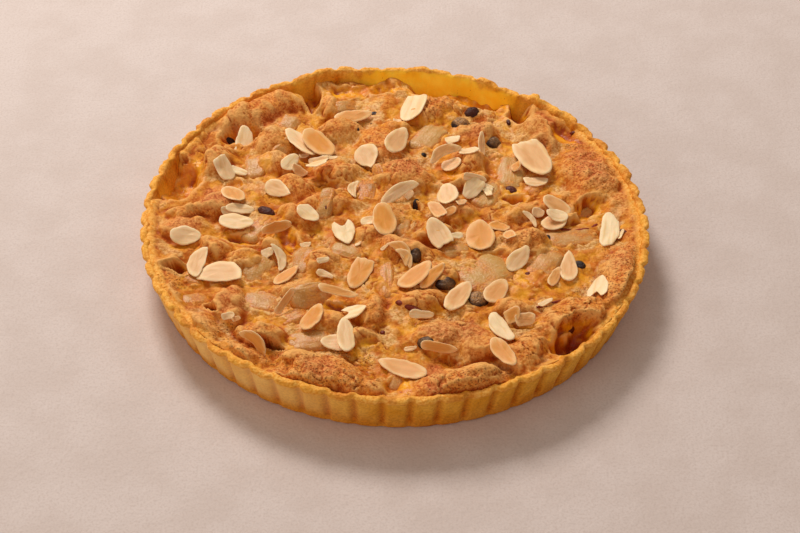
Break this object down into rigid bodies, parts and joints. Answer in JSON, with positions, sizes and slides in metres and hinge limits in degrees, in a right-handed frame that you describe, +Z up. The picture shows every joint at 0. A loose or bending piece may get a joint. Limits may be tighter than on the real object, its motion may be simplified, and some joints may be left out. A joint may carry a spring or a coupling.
{
  "type": "pear tart",
  "caption": "Round baked tart: fluted pastry case filled with risen batter, pear pieces and dark berries, topped with flaked almonds.",
  "frame": {"origin": "middle of the flat underside of the pastry case", "axes": "+Z up through the middle of the tart, +Y away from the side it is looked at from, +X to the right"},
  "size_m": [0.25, 0.25, 0.0294],
  "materials": {
    "pastry": "baked shortcrust, matt and slightly sandy",
    "batter": "browned baked batter, matt with pores, glossy amber in the hollows",
    "almond": "toasted almond, matt",
    "pear": "baked pear flesh, moist and translucent",
    "berry": "dark berry skin, soft shine"
  },
  "bodies": {
    "root": {"crust": "pastry", "filling": "batter", "pear_01": "pear", "pear_02": "pear", "pear_03": "pear", "pear_04": "pear", "pear_05": "pear", "pear_06": "pear", "pear_07": "pear", "pear_08": "pear", "pear_09": "pear", "pear_10": "pear", "pear_11": "pear", "pear_12": "pear", "pear_13": "pear", "pear_14": "pear", "pear_15": "pear", "pear_16": "pear", "pear_17": "pear", "pear_18": "pear", "pear_19": "pear", "pear_20": "pear", "pear_21": "pear", "pear_22": "pear", "pear_23": "pear", "pear_24": "pear", "pear_25": "pear", "pear_26": "pear", "pear_27": "pear", "pear_28": "pear", "pear_29": "pear", "pear_30": "pear", "berry_01": "berry", "berry_02": "berry", "berry_03": "berry", "berry_04": "berry", "berry_05": "berry", "berry_06": "berry", "berry_07": "berry", "berry_08": "berry", "berry_09": "berry", "berry_10": "berry", "berry_11": "berry", "berry_12": "berry"}
  },
  "joints": []
}
